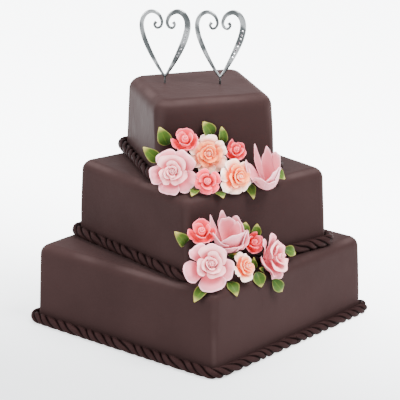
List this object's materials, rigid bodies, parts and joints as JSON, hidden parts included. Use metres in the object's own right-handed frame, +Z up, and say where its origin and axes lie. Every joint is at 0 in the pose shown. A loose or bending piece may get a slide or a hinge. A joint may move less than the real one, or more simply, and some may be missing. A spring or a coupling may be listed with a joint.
{
  "type": "tiered wedding cake",
  "caption": "Square tiered wedding cake in chocolate fondant with twisted rope borders, two clusters of sugar roses and open silver hearts on pins.",
  "frame": {"origin": "middle of the bottom tier's underside, at the floor", "axes": "+Z up; X and Y along the sides of the bottom tier, with the flowers towards the corner of +X and -Y"},
  "size_m": [0.3466, 0.3466, 0.4316],
  "materials": {
    "fondant": "satin chocolate fondant",
    "rope": "satin chocolate fondant",
    "blush": "matt sugar paste",
    "coral": "matt sugar paste",
    "peach": "matt sugar paste",
    "leaf": "satin sugar paste",
    "silver": "silver plated, brushed"
  },
  "bodies": {
    "root": {"bottom_tier": "fondant", "middle_tier": "fondant", "top_tier": "fondant", "bottom_rope": "rope", "middle_rope": "rope", "top_rope": "rope", "top_rose_1": "blush", "top_rose_2": "coral", "top_rose_3": "peach", "top_rose_4": "coral", "top_rose_5": "peach", "top_rose_6": "coral", "top_rose_7": "blush", "middle_rose_1": "blush", "middle_rose_2": "coral", "middle_rose_3": "blush", "middle_rose_4": "coral", "middle_rose_5": "peach", "middle_rose_6": "blush", "top_leaf_1": "leaf", "top_leaf_2": "leaf", "top_leaf_3": "leaf", "top_leaf_4": "leaf", "top_leaf_5": "leaf", "top_leaf_6": "leaf", "top_leaf_7": "leaf", "top_leaf_8": "leaf", "middle_leaf_1": "leaf", "middle_leaf_2": "leaf", "middle_leaf_3": "leaf", "middle_leaf_4": "leaf", "middle_leaf_5": "leaf", "middle_leaf_6": "leaf", "middle_leaf_7": "leaf", "middle_leaf_8": "leaf", "middle_leaf_9": "leaf", "middle_leaf_10": "leaf", "middle_leaf_11": "leaf", "left_heart": "silver", "right_heart": "silver"}
  },
  "joints": []
}
